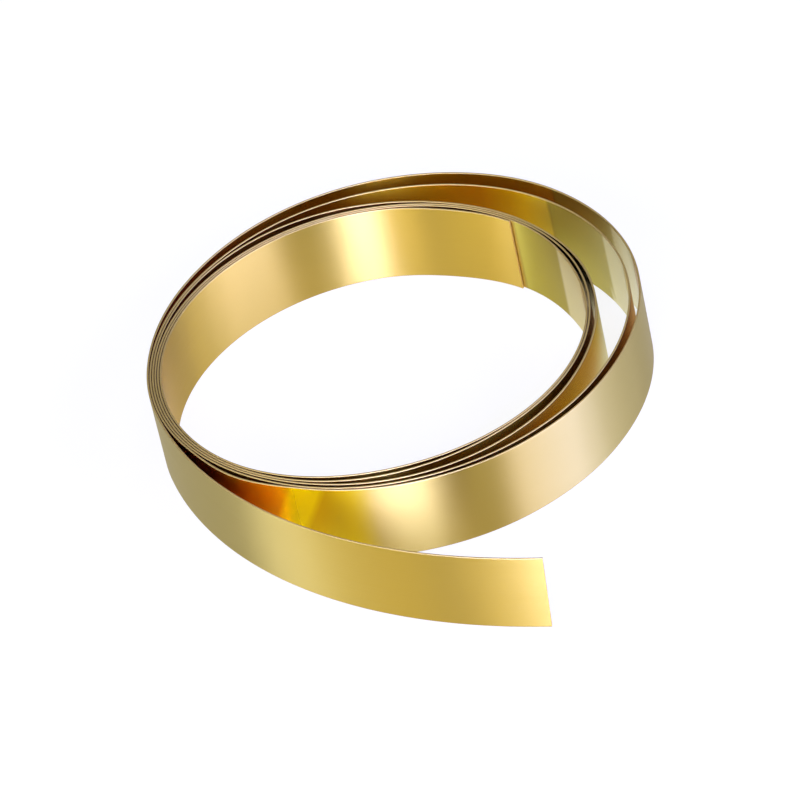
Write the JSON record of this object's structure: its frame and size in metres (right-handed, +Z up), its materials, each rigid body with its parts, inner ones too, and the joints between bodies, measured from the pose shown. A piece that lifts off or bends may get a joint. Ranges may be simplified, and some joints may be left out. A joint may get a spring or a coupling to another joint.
{
  "type": "roll of brass strip",
  "caption": "Bare metal strip in a loose spring roll that stands on its edge, with an open eye and a free tail sprung out in front.",
  "frame": {"origin": "on the floor, under the middle of the roll's length and depth, tail included", "axes": "+Z up along the strip's width, +X to the right and +Y to the back as the roll stands with its tail in front"},
  "size_m": [0.1126, 0.1404, 0.02],
  "materials": {
    "bright_brass": "bright rolled, with fine streaks along the strip"
  },
  "bodies": {
    "root": {"brass_strip": "bright_brass"}
  },
  "joints": []
}
